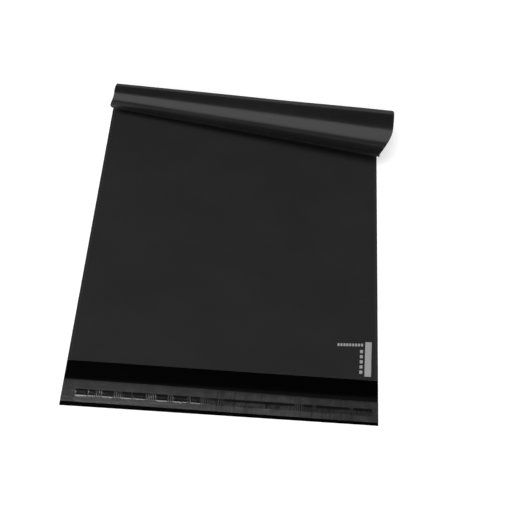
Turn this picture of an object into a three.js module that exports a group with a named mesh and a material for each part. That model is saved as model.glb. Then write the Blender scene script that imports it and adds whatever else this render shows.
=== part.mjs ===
// A poly mailer bag, lying flat with its front panel up and its bottom end rolled over.
// One black film is folded at the bottom and welded along both sides. Its back panel runs on past the
// mouth as a lip, which carries a hot-melt strip under a release liner.
// Sizes are millimetres. X runs across the bag, Y from the lip to the rolled end, and Z up.
import * as THREE from "three";

// Bag
const width = 254;
const length = 330; // from the mouth to the bottom fold
const lip = 35.5;
const film = 0.06;
const weld = 2.5; // each side weld, measured across the bag
const weldRamp = 6; // from the weld to where the pocket has its full depth
const pocket = 0.3; // air between the two panels
const foldPocket = 0.12; // air left inside the bottom fold

// Rolled end. The roll is a slanted, tapering curl, so both ends have a length and a radius of their own.
const rolledLeft = 86; // film in the roll, measured along the left edge
const rolledRight = 126.2;
const radiusLeft = 13.8;
const radiusRight = 25.4;
const liftShare = 0.4; // of the full curvature, where the film leaves the surface that it lies on
const liftTurn = THREE.MathUtils.degToRad(75); // turn over which the curvature grows to its full value
const tighten = 0.4; // how much tighter the curl has become at the bottom fold
const slip = 8; // how far each full turn has slipped along the roll, towards its wide end
const leanLeft = 7; // how far the top of the first turn leans the same way, at each end of the roll
const leanRight = 9.6;
const leanGrows = [50, 155].map(THREE.MathUtils.degToRad); // turns over which the lean comes and goes
const leanFades = [200, 286].map(THREE.MathUtils.degToRad);

// Closure strip
const adhesiveWidth = 7;
const adhesiveHeight = 0.12;
const linerWidth = 17.5;
const linerHeight = 0.05;
const lipBorder = 2.8; // bare film between the liner and the edge of the lip

// How finely the film is divided
const columnsAcross = 10;
const rowsOnFlat = 3;
const rowsInRoll = 52;
const stepsInCurl = 720;

const halfWidth = width / 2;

// The film leaves the surface on one straight line, which starts at the apex of the taper.
const liftLeft = new THREE.Vector2(-halfWidth, length - rolledLeft);
const liftRight = new THREE.Vector2(halfWidth, length - rolledRight);
const liftLine = new THREE.Vector2().subVectors(liftRight, liftLeft);
const liftAngle = liftLine.angle() - 2 * Math.PI;
const apexReach = liftLine.length() * radiusLeft / (radiusRight - radiusLeft);
const apex = liftLeft.clone().sub(liftLine.clone().setLength(apexReach));

// Angle at the apex between the lift line and a point of the flat film
function sweepOf(x, y) {
  return Math.atan2(y - apex.y, x - apex.x) - liftAngle;
}

// The curl is a cone over a spiral on the unit sphere. Each step turns the ray, its heading and the
// film's inward normal about the axis of the cone that fits there, which doesn't stretch the film.
const fullCurvature = apexReach / radiusLeft;
const sweepOfRoll = sweepOf(-halfWidth, length);
const sweepOfRamp = liftTurn / fullCurvature;
const sweepStep = sweepOfRoll / stepsInCurl;

function curvatureAt(sweep) {
  const grown = liftShare + (1 - liftShare) * THREE.MathUtils.smoothstep(sweep, 0, sweepOfRamp);
  return fullCurvature * grown * (1 + tighten * sweep / sweepOfRoll);
}

function makeCurl() {
  const ray = new THREE.Vector3(Math.cos(liftAngle), Math.sin(liftAngle), 0);
  const inward = new THREE.Vector3(0, 0, 1);
  const steps = [{ ray: ray.clone(), inward: inward.clone(), turned: 0 }];
  let turned = 0;
  for (let step = 0; step < stepsInCurl; step += 1) {
    const curvature = curvatureAt((step + 0.5) * sweepStep);
    const axis = ray.clone().multiplyScalar(curvature).add(inward);
    const turn = axis.length() * sweepStep;
    axis.normalize();
    ray.applyAxisAngle(axis, turn);
    inward.applyAxisAngle(axis, turn);
    turned += turn;
    steps.push({ ray: ray.clone(), inward: inward.clone(), turned });
  }
  return steps;
}

const curl = makeCurl();

// How far a point has moved along the roll, for the angle that the film has turned there
function shiftAt(turned, reach) {
  const { mapLinear, smoothstep } = THREE.MathUtils;
  const lean = mapLinear(reach, apexReach, apexReach + liftLine.length(), leanLeft, leanRight);
  const leaning = smoothstep(turned, ...leanGrows) * (1 - smoothstep(turned, ...leanFades));
  return slip * turned / (2 * Math.PI) + lean * leaning;
}

// Where a point of the flat film lies, at a height above the film's outer face on the back panel
function place(x, y, height) {
  const sweep = sweepOf(x, y);
  if (sweep <= 0) return new THREE.Vector3(x, y, height);
  const at = Math.min(sweep / sweepStep, stepsInCurl - 1e-6);
  const before = curl[Math.floor(at)];
  const after = curl[Math.floor(at) + 1];
  const share = at - Math.floor(at);
  const turned = THREE.MathUtils.lerp(before.turned, after.turned, share);
  const reach = Math.hypot(x - apex.x, y - apex.y);
  const point = before.ray.clone().lerp(after.ray, share).setLength(reach + shiftAt(turned, reach));
  point.addScaledVector(before.inward.clone().lerp(after.inward, share).normalize(), height);
  return point.add(new THREE.Vector3(apex.x, apex.y, 0));
}

// Air between the panels: none in the welds, and less towards the bottom fold
function gapAt(x, share) {
  const fromWeld = halfWidth - weld - Math.abs(x);
  const depth = THREE.MathUtils.lerp(pocket, foldPocket, share);
  return depth * THREE.MathUtils.clamp(fromWeld / weldRamp, 0, 1);
}

// A closed skin, built from a grid of corners on each of its faces
class Skin {
  points = [];
  faces = [];

  corner(x, y, height) {
    this.points.push(...place(x, y, height).toArray());
    return this.points.length / 3 - 1;
  }

  // One face, unless two of its corners are the same
  face(a, b, c, turned = false) {
    if (a === b || b === c || c === a) return;
    if (turned) this.faces.push(c, b, a);
    else this.faces.push(a, b, c);
  }

  // Faces between two rows of corners, seen from the side where the second row lies to the left, or
  // from the other side if they are turned. The diagonals are the same either way, so that the two
  // sides of a thin film stay parallel.
  strip(right, left, turned) {
    for (let i = 1; i < right.length; i += 1) {
      this.face(right[i - 1], right[i], left[i], turned);
      this.face(right[i - 1], left[i], left[i - 1], turned);
    }
  }

  // Faces from one corner to each stretch of a row, which runs counterclockwise round it
  fan(centre, row) {
    for (let i = 1; i < row.length; i += 1) this.face(centre, row[i - 1], row[i]);
  }

  surface(rows, turned) {
    for (let j = 1; j < rows.length; j += 1) this.strip(rows[j - 1], rows[j], turned);
  }

  geometry() {
    const geometry = new THREE.BufferGeometry();
    geometry.setAttribute("position", new THREE.Float32BufferAttribute(this.points, 3));
    geometry.setIndex(this.faces);
    geometry.computeVertexNormals();
    return geometry;
  }
}

function makeFilm() {
  const skin = new Skin();
  const inner = halfWidth - weld;
  const full = inner - weldRamp;
  const across = [-halfWidth, -inner];
  for (let i = 0; i <= columnsAcross; i += 1) across.push(THREE.MathUtils.lerp(-full, full, i / columnsAcross));
  across.push(inner, halfWidth);

  // Rows of the body, from the mouth to just short of the bottom fold, as distances along the film
  const foldDepth = film + foldPocket / 2;
  const rows = [];
  for (let j = 0; j <= rowsOnFlat + rowsInRoll; j += 1) {
    rows.push(across.map((x) => {
      const lift = THREE.MathUtils.mapLinear(x, -halfWidth, halfWidth, liftLeft.y, liftRight.y);
      if (j <= rowsOnFlat) return lift * j / rowsOnFlat;
      return THREE.MathUtils.lerp(lift, length - foldDepth, (j - rowsOnFlat) / rowsInRoll);
    }));
  }

  const layer = (heightAt) => rows.map((row) => across.map((x, i) => {
    return skin.corner(x, row[i], heightAt(gapAt(x, row[i] / length)));
  }));
  const outerBack = layer(() => 0);
  const innerBack = layer(() => film);
  const outerFront = layer((gap) => 2 * film + gap);
  // In the welds the inner faces of the two panels are one
  const inWeld = (i) => Math.abs(across[i]) > inner - 1e-6;
  const innerFront = rows.map((row, j) => across.map((x, i) => {
    return inWeld(i) ? innerBack[j][i] : skin.corner(x, row[i], film + gapAt(x, row[i] / length));
  }));

  const reversed = (list) => list.slice().reverse();
  const pocketOnly = (row) => row.slice(1, -1);

  // Lip: the back panel past the mouth
  const lipUnder = across.map((x) => skin.corner(x, -lip, 0));
  const lipTop = across.map((x) => skin.corner(x, -lip, film));
  skin.surface([lipUnder, outerBack[0]], true);
  skin.surface([lipTop, innerBack[0]]);
  skin.strip(lipUnder, lipTop);

  // Panels, seen from outside, and the pocket between them
  skin.surface(outerBack, true);
  skin.surface(outerFront);
  skin.surface(innerBack.map(pocketOnly));
  skin.surface(innerFront.map(pocketOnly), true);

  // Cut edge of the front panel at the mouth
  skin.strip(innerFront[0], outerFront[0]);

  // Bottom fold: a rounded nose outside, and the end of the pocket inside
  const nose = across.map((x) => skin.corner(x, length, foldDepth));
  const last = rows.length - 1;
  skin.surface([outerFront[last], nose, outerBack[last]]);
  skin.strip(pocketOnly(innerBack[last]), pocketOnly(innerFront[last]));

  // Side edges, from the lip's corner to the fold's. The front panel starts at the mouth, so the edge
  // grows there from one film to two.
  for (const i of [0, across.length - 1]) {
    const ordered = (row) => (i === 0 ? reversed(row) : row);
    const lower = outerBack.slice(1).map((row) => row[i]);
    const upper = outerFront.slice(1).map((row) => row[i]);
    skin.strip(...ordered([[lipUnder[i], outerBack[0][i]], [lipTop[i], innerBack[0][i]]]));
    skin.fan(innerBack[0][i], ordered([outerBack[0][i], lower[0], upper[0], outerFront[0][i]]));
    skin.strip(...ordered([lower, upper]));
    skin.fan(nose[i], ordered([upper.at(-1), lower.at(-1)]));
  }
  return skin.geometry();
}

const blackFilm = new THREE.MeshStandardMaterial({ color: 0x1c1c1e, roughness: 0.42, metalness: 0 });
const clearGlue = new THREE.MeshStandardMaterial({ color: 0x2a2a2c, roughness: 0.15, metalness: 0 });
const greyLiner = new THREE.MeshStandardMaterial({ color: 0x6a6a6c, roughness: 0.35, metalness: 0 });

function mesh(name, geometry, material) {
  const piece = new THREE.Mesh(geometry, material);
  piece.name = name;
  return piece;
}

// A strip that lies on the lip, across the whole bag, centred on the closure line
function closureStrip(name, depth, height, under, material) {
  const closureLine = -lip + lipBorder + linerWidth / 2;
  const geometry = new THREE.BoxGeometry(width, depth, height);
  geometry.translate(0, closureLine, under + height / 2);
  return mesh(name, geometry, material);
}

const bag = new THREE.Group();
bag.add(mesh("bag_film", makeFilm(), blackFilm));
bag.add(closureStrip("adhesive_strip", adhesiveWidth, adhesiveHeight, film, clearGlue));
bag.add(closureStrip("release_liner", linerWidth, linerHeight, film + adhesiveHeight, greyLiner));

// The origin is under the middle of the bag as it lies.
const box = new THREE.Box3().setFromObject(bag);
const middle = box.getCenter(new THREE.Vector3());
bag.position.set(-middle.x, -middle.y, 0);

export default bag;
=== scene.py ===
"""The looks of a poly mailer bag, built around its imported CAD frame.

The bag lies flat with its front panel up and its bottom end rolled over. Three pieces are made: the film, the
hot-melt strip on the lip, and the release liner that covers the hot-melt.

Sizes are metres, with +X across the bag, +Y from the lip to the rolled end, and +Z up. A "flat place" (x, y)
is a point of the film before it was rolled: x is measured from the middle of the bag, and y from the mouth
towards the bottom fold, so that it is negative on the lip. A method that takes x and y takes the flat places
of many points as two arrays, and gives one value for each.
"""

import logging
import math
from collections.abc import Callable
from dataclasses import dataclass, field
from enum import IntEnum

import bpy
import numpy as np
from mathutils import Matrix, Vector


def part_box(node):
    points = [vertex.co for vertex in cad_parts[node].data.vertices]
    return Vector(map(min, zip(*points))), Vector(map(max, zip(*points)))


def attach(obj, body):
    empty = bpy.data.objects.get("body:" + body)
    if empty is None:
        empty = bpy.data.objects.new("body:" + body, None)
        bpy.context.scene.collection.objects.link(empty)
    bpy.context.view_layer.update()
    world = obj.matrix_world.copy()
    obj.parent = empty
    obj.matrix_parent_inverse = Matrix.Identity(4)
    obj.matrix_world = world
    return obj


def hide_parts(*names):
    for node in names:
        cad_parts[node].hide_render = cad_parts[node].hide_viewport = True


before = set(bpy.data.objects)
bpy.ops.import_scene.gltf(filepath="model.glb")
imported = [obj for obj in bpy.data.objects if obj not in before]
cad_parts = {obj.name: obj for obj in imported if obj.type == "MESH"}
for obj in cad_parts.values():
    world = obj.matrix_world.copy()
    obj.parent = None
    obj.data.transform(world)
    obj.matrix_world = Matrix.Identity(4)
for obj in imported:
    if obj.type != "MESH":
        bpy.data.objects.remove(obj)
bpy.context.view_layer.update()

log = logging.getLogger("poly_mailer")

PLACE = "flat_place"  # attribute: the flat place of a point, as x and y
WET = "wet_out"  # attribute: how far the glue darkens the liner, from 0 to 1
HAZE_AND_SHEEN = "haze"  # attribute: how hazy the liner looks, with painted reflection below and just above the hot-melt, as a share of its full haze
BAKE_MAP = "OFBake"  # UV map for baking
BAKE_MARGIN = 0.01  # share of a cell of that map that is left free on each side

Piece = bpy.types.Object
Socket = bpy.types.NodeSocket
Sockets = bpy.types.bpy_prop_collection
Pair = tuple[float, float]
Corners = tuple[float, float, float, float]
Spans = tuple[tuple[float, float, float], ...]
LowerUpper = tuple[np.ndarray, np.ndarray]
Heights = Callable[[np.ndarray, np.ndarray], LowerUpper]


@dataclass(frozen=True)
class BagSize:
    """Sizes of the bag as it is made, the same as in the CAD but for the skew."""

    width: float = 0.254
    length: float = 0.330
    lip: float = 0.0355
    film: float = 0.00006
    weld: float = 0.0025
    weld_ramp: float = 0.006
    pocket: float = 0.0003
    fold_pocket: float = 0.00012
    skew: float = 0.0006  # how much the mouth and the liner rise from the middle to the left side

    @property
    def half_width(self) -> float:
        """Distance from the middle of the bag to each side."""
        return self.width / 2

    @property
    def fold_depth(self) -> float:
        """Depth of the rounded nose of the bottom fold."""
        return self.film + self.fold_pocket / 2

    @property
    def origin(self) -> np.ndarray:
        """The row frame's place of the flat place (0, 0): the CAD's box starts at the lip's left corner."""
        low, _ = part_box("bag_film")
        return np.array([low.x + self.half_width, low.y + self.lip, 0.0])

    def skew_at(self, x: np.ndarray) -> np.ndarray:
        """How much higher than planned the mouth and the liner run: skew x (1/3 - x / half width)."""
        return self.skew * (1 / 3 - x / self.half_width)


@dataclass(frozen=True)
class CurlSize:
    """Sizes of the rolled end, the same as in the CAD."""

    rolled_left: float = 0.086
    rolled_right: float = 0.1262
    radius_left: float = 0.0138
    radius_right: float = 0.0254
    lift_share: float = 0.4
    lift_turn: float = math.radians(75)
    tighten: float = 0.4
    slip: float = 0.008  # per full turn
    lean_left: float = 0.007
    lean_right: float = 0.0096
    lean_grows: Pair = (math.radians(50), math.radians(155))
    lean_fades: Pair = (math.radians(200), math.radians(286))
    steps: int = 720


def smooth_step(value: np.ndarray, start: float | np.ndarray, end: float | np.ndarray) -> np.ndarray:
    """Rises from 0 at start to 1 at end, along 3t^2 - 2t^3. The end may be below the start."""
    share = np.clip((value - start) / (end - start), 0.0, 1.0)
    return share * share * (3 - 2 * share)


def plateau(value: np.ndarray, corners: Corners) -> np.ndarray:
    """Rises from 0 to 1 between the first two corners, and falls back between the last two."""
    return smooth_step(value, corners[0], corners[1]) * smooth_step(value, corners[3], corners[2])


def blend(start: float | np.ndarray, end: float | np.ndarray, share: np.ndarray) -> np.ndarray:
    """The value that lies that share of the way from start to end."""
    return start + (end - start) * share


class Curl:
    """The rolled end, as a cone over a spiral on the unit sphere.

    A ray from the apex of the taper sweeps over the flat film. Each small sweep turns the ray and the film's
    inward normal about the axis (ray x curvature + normal), so that the film is bent but not stretched. Each
    point then moves a little along the roll, which has slipped and leans.
    """

    def __init__(self, bag: BagSize, size: CurlSize) -> None:
        """Works out the apex and the rays.

        Args:
            bag: sizes of the bag.
            size: sizes of the rolled end.
        """
        self.size = size
        self.lift_left = np.array([-bag.half_width, bag.length - size.rolled_left])
        self.lift_right = np.array([bag.half_width, bag.length - size.rolled_right])
        lift_line = self.lift_right - self.lift_left
        self.line_length = float(np.hypot(*lift_line))
        self.lift_angle = math.atan2(lift_line[1], lift_line[0])
        self.reach = self.line_length * size.radius_left / (size.radius_right - size.radius_left)
        self.apex = self.lift_left - lift_line / self.line_length * self.reach
        self.sweep_of_roll = float(self.sweep_of(-bag.half_width, bag.length))
        self.step = self.sweep_of_roll / size.steps
        self.rays, self.normals, self.turned = self.wind()

    def sweep_of(self, x: np.ndarray | float, y: np.ndarray | float) -> np.ndarray:
        """Angle at the apex between the lift line and a flat place."""
        return np.arctan2(y - self.apex[1], x - self.apex[0]) - self.lift_angle

    def lift_at(self, x: np.ndarray) -> np.ndarray:
        """The y at which the film leaves the surface, which is a straight line across the bag."""
        share = (x - self.lift_left[0]) / (self.lift_right[0] - self.lift_left[0])
        return blend(self.lift_left[1], self.lift_right[1], share)

    def curvature_at(self, sweep: float) -> float:
        """Curvature of the spiral, which grows from the lift line on and tightens towards the fold."""
        size = self.size
        full = self.reach / size.radius_left
        grown = float(smooth_step(np.asarray(sweep), 0.0, size.lift_turn / full))
        return full * blend(size.lift_share, 1.0, grown) * (1 + size.tighten * sweep / self.sweep_of_roll)

    def wind(self) -> tuple[np.ndarray, np.ndarray, np.ndarray]:
        """Turns the ray step by step.

        Returns:
            The rays, the inward normals and the angle turned so far, one row per step.
        """
        ray = Vector((math.cos(self.lift_angle), math.sin(self.lift_angle), 0.0))
        normal = Vector((0.0, 0.0, 1.0))
        turned = 0.0
        rows = [(*ray, *normal, turned)]
        for step in range(self.size.steps):
            axis = ray * self.curvature_at((step + 0.5) * self.step) + normal
            turn = Matrix.Rotation(axis.length * self.step, 3, axis.normalized())
            turned += axis.length * self.step
            ray = turn @ ray
            normal = turn @ normal
            rows.append((*ray, *normal, turned))
        table = np.array(rows)
        return table[:, :3], table[:, 3:6], table[:, 6]

    def shift_at(self, turned: np.ndarray, reach: np.ndarray) -> np.ndarray:
        """How far a point has moved along the roll: slip x turns, and a lean over the first turn.

        Args:
            turned: angle that the film has turned there.
            reach: distance from the apex.

        Returns:
            The distance for each point, towards the wide end.
        """
        size = self.size
        lean = blend(size.lean_left, size.lean_right, (reach - self.reach) / self.line_length)
        leaning = smooth_step(turned, *size.lean_grows) * smooth_step(turned, *size.lean_fades[::-1])
        return size.slip * turned / math.tau + lean * leaning

    def place(self, x: np.ndarray, y: np.ndarray, height: np.ndarray) -> np.ndarray:
        """Where points of the flat film lie once its end is rolled.

        On the flat part a point is (x, y, height). In the roll it is apex + ray x (reach + shift) + normal x
        height.

        Args:
            x: flat x of each point.
            y: flat y of each point.
            height: height above the outer face of the back panel.

        Returns:
            Points, with one more axis of three, measured from the flat place (0, 0).
        """
        sweep = self.sweep_of(x, y)
        at = np.clip(sweep / self.step, 0.0, self.size.steps - 1e-6)
        before = at.astype(int)
        share = (at - before)[..., None]
        ray = blend(self.rays[before], self.rays[before + 1], share)
        ray /= np.linalg.norm(ray, axis=-1, keepdims=True)
        normal = blend(self.normals[before], self.normals[before + 1], share)
        normal /= np.linalg.norm(normal, axis=-1, keepdims=True)
        turned = blend(self.turned[before], self.turned[before + 1], share[..., 0])
        reach = np.hypot(x - self.apex[0], y - self.apex[1])
        reach += self.shift_at(turned, reach)
        rolled = np.array([*self.apex, 0.0]) + ray * reach[..., None] + normal * height[..., None]
        return np.where((sweep <= 0)[..., None], np.stack([x, y, height], axis=-1), rolled)


class Swell:
    """Soft, repeatable unevenness: a sum of plane waves with random lengths, headings and starts."""

    waves = 16

    def __init__(self, seed: int, shortest: float, longest: float, stretch: float = 1.0) -> None:
        """Draws the waves.

        Args:
            seed: seed of the random draws.
            shortest: shortest wavelength.
            longest: longest wavelength.
            stretch: how many times longer the waves are across the bag than along it.
        """
        draws = np.random.default_rng(seed)
        length = np.exp(draws.uniform(math.log(shortest), math.log(longest), self.waves))
        heading = draws.uniform(0, math.pi, self.waves)
        self.across = math.tau / length * np.cos(heading) / stretch
        self.along = math.tau / length * np.sin(heading)
        self.start = draws.uniform(0, math.tau, self.waves)

    def at(self, x: np.ndarray, y: np.ndarray) -> np.ndarray:
        """The unevenness, mostly within -1 and 1: the scaled sum of sin(kx x + ky y + start)."""
        phase = x[..., None] * self.across + y[..., None] * self.along + self.start
        return np.sin(phase).sum(axis=-1) * math.sqrt(2 / self.waves) / 2


@dataclass
class Shell:
    """A closed skin that is put together from grids of points."""

    points: list[np.ndarray] = field(default_factory=list)
    places: list[np.ndarray] = field(default_factory=list)
    faces: list[tuple[int, ...]] = field(default_factory=list)
    finishes: list[int] = field(default_factory=list)
    cells: list[int] = field(default_factory=list)
    count: int = 0

    def add(self, points: np.ndarray, x: np.ndarray, y: np.ndarray) -> np.ndarray:
        """Takes in a grid of points.

        Args:
            points: the points, with their three coordinates on the last axis.
            x: flat x of each point.
            y: flat y of each point.

        Returns:
            The points' numbers in the mesh, as a grid of the same shape.
        """
        numbers = np.arange(x.size).reshape(x.shape) + self.count
        self.points.append(points.reshape(-1, 3))
        self.places.append(np.stack([x.ravel(), y.ravel(), np.zeros(x.size)], axis=-1))
        self.count += x.size
        return numbers

    def keep(self, faces: list[tuple[int, ...]], finish: int, cell: int) -> None:
        """Takes in faces that share a material and a cell of the bake map."""
        self.faces += faces
        self.finishes += [finish] * len(faces)
        self.cells += [cell] * len(faces)

    def surface(self, numbers: np.ndarray, finish: int, cell: int, turned: bool = False) -> None:
        """Adds the four-cornered faces of a grid of point numbers.

        Each face runs from its first corner along the row, so that both sides of a thin film are split along
        the same diagonal. A face whose corners meet becomes a triangle or is left out.

        Args:
            numbers: grid of point numbers; the faces are seen where rows go up and columns go right.
            finish: number of the material.
            cell: cell of the bake map.
            turned: makes the faces point the other way.
        """
        ways = [numbers[:-1, :-1], numbers[:-1, 1:], numbers[1:, 1:], numbers[1:, :-1]]
        if turned:
            ways = [ways[0], ways[3], ways[2], ways[1]]
        quads = np.stack(ways, axis=-1).reshape(-1, 4)
        whole = (quads != np.roll(quads, 1, axis=1)).all(axis=1)
        kept = [tuple(quad) for quad in quads[whole].tolist()]
        reduced = [tuple(dict.fromkeys(quad)) for quad in quads[~whole].tolist()]
        self.keep(kept + [corners for corners in reduced if len(corners) > 2], finish, cell)

    def face(self, corners: list[int], finish: int, cell: int, turned: bool = False) -> None:
        """Adds one face with any number of corners."""
        self.keep([tuple(int(corner) for corner in corners[:: -1 if turned else 1])], finish, cell)

    def build(self, name: str, materials: list[bpy.types.Material], crease: float = 35.0) -> Piece:
        """Makes the mesh object.

        The bake map has up to four cells, two by two, and each face lies in its own cell at its flat place.

        Args:
            name: name of the object and its mesh.
            materials: the finishes, in the order of their numbers.
            crease: angle in degrees from which an edge is shaded sharp.

        Returns:
            The object, at the world origin.
        """
        points = np.concatenate(self.points)
        places = np.concatenate(self.places)
        mesh = bpy.data.meshes.new(name)
        mesh.from_pydata(points.tolist(), [], self.faces)
        for material in materials:
            mesh.materials.append(material)
        mesh.polygons.foreach_set("material_index", self.finishes)
        mesh.polygons.foreach_set("use_smooth", [True] * len(self.faces))
        mesh.attributes.new(PLACE, "FLOAT_VECTOR", "POINT").data.foreach_set("vector", places.ravel())

        corners = np.empty(len(mesh.loops), np.int32)
        mesh.loops.foreach_get("vertex_index", corners)
        cell = np.repeat(self.cells, [len(face) for face in self.faces])
        low, high = places.min(axis=0)[:2], places.max(axis=0)[:2]
        cells = 2 if max(self.cells) else 1
        share = BAKE_MARGIN + (1 - 2 * BAKE_MARGIN) * (places[corners, :2] - low) / (high - low)
        at = (share + np.stack([cell % 2, cell // 2], axis=-1)) / cells
        mesh.uv_layers.new(name=BAKE_MAP).uv.foreach_set("vector", at.astype(np.float32).ravel())

        mesh.validate()
        mesh.update()
        mesh.set_sharp_from_angle(angle=math.radians(crease))
        return link_new(name, mesh)


def link_new(name: str, data: bpy.types.ID) -> Piece:
    """Makes an object for a mesh, a lamp or a camera, and links it to the scene."""
    thing = bpy.data.objects.new(name, data)
    bpy.context.scene.collection.objects.link(thing)
    return thing


def hand_over(piece: Piece, node: str) -> None:
    """Hands a piece to the frame: it rides on the only body, and stands for a CAD node."""
    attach(piece, "root")
    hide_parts(node)


class Sketch:
    """Adds nodes to one node tree, and links them. A value is a socket, or what a socket can be set to."""

    def __init__(self, tree: bpy.types.NodeTree) -> None:
        """Keeps the tree that is drawn on."""
        self.tree = tree

    def add(self, kind: str, **settings: object) -> bpy.types.Node:
        """Adds a node of a kind, such as "ShaderNodeMath", with its properties set."""
        node = self.tree.nodes.new(kind)
        for name, value in settings.items():
            setattr(node, name, value)
        return node

    def feed(self, socket: Socket, value: object) -> None:
        """Links a socket to another one, or sets its plain value."""
        if isinstance(value, Socket):
            self.tree.links.new(value, socket)
        else:
            socket.default_value = value

    def fed(self, node: bpy.types.Node, *values: object) -> bpy.types.Node:
        """Feeds a node's sockets, in their order."""
        for socket, value in zip(node.inputs, values):
            self.feed(socket, value)
        return node

    def named(self, node: bpy.types.Node, values: dict[str, object]) -> bpy.types.Node:
        """Feeds a node's sockets by name."""
        for name, value in values.items():
            self.feed(node.inputs[name], value)
        return node

    def math(self, operation: str, *values: object, clamp: bool = False) -> Socket:
        """A Math node."""
        return self.fed(self.add("ShaderNodeMath", operation=operation, use_clamp=clamp), *values).outputs[0]

    def times(self, *values: object) -> Socket:
        """The product of two numbers."""
        return self.math("MULTIPLY", *values)

    def plus(self, *values: object) -> Socket:
        """The sum of two numbers."""
        return self.math("ADD", *values)

    def minus(self, *values: object) -> Socket:
        """The first number less the second."""
        return self.math("SUBTRACT", *values)

    def scaled(self, vector: object, factors: tuple[float, float, float]) -> Socket:
        """A vector times three factors."""
        return self.fed(self.add("ShaderNodeVectorMath", operation="MULTIPLY"), vector, factors).outputs[0]

    def split(self, vector: object) -> Sockets:
        """The x, y and z of a vector."""
        return self.fed(self.add("ShaderNodeSeparateXYZ"), vector).outputs

    def attribute(self, name: str, output: str = "Fac") -> Socket:
        """A mesh attribute, as a number or as a vector."""
        return self.add("ShaderNodeAttribute", attribute_name=name).outputs[output]

    def ramp(self, value: object, start: object, end: object, low: object = 0, high: object = 1) -> Socket:
        """A smooth rise from low to high, while the value goes from start to end."""
        given = {"Value": value, "From Min": start, "From Max": end, "To Min": low, "To Max": high}
        return self.named(self.add("ShaderNodeMapRange", interpolation_type="SMOOTHSTEP"), given).outputs[0]

    def noise(self, vector: object, scale: float, detail: float = 2.0, rough: float = 0.5) -> Socket:
        """Noise from 0 to 1."""
        given = {"Vector": vector, "Scale": scale, "Detail": detail, "Roughness": rough}
        return self.named(self.add("ShaderNodeTexNoise"), given).outputs["Fac"]

    def mix(self, share: object, first: object, second: object) -> Socket:
        """A colour that goes from the first to the second."""
        node = self.named(self.add("ShaderNodeMix", data_type="RGBA"), {"Factor": share})
        self.feed(node.inputs[6], first)
        self.feed(node.inputs[7], second)
        return node.outputs[2]

    def neutral(self, value: Socket) -> Socket:
        """A neutral colour of varying brightness."""
        return self.fed(self.add("ShaderNodeCombineColor"), value, value, value).outputs[0]

    def bump(self, height: Socket) -> Socket:
        """A normal from a height in metres."""
        node = self.add("ShaderNodeBump")
        return self.named(node, {"Distance": 1.0, "Height": height}).outputs[0]

    def group(self, tree: bpy.types.NodeTree, **values: object) -> Sockets:
        """Places a node group, with its inputs set; an underscore stands for a space in their names."""
        given = {name.replace("_", " "): value for name, value in values.items()}
        return self.named(self.add("ShaderNodeGroup", node_tree=tree), given).outputs


def new_group(name: str, inputs: str, outputs: str) -> tuple[Sketch, Sockets, Sockets]:
    """Starts a shader node group.

    Args:
        name: name of the group.
        inputs: names of the inputs, with commas between them. Place is a vector, and the others are numbers.
        outputs: names of the outputs, which are all numbers.

    Returns:
        A sketch of the group's tree, its inputs as sockets to read, and its outputs as sockets to feed.
    """
    tree = bpy.data.node_groups.new(name, "ShaderNodeTree")
    for title in inputs.split(", "):
        kind = "NodeSocketVector" if title == "Place" else "NodeSocketFloat"
        tree.interface.new_socket(title, in_out="INPUT", socket_type=kind)
    for title in outputs.split(", "):
        tree.interface.new_socket(title, in_out="OUTPUT", socket_type="NodeSocketFloat")
    sketch = Sketch(tree)
    return sketch, sketch.add("NodeGroupInput").outputs, sketch.add("NodeGroupOutput").inputs


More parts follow.
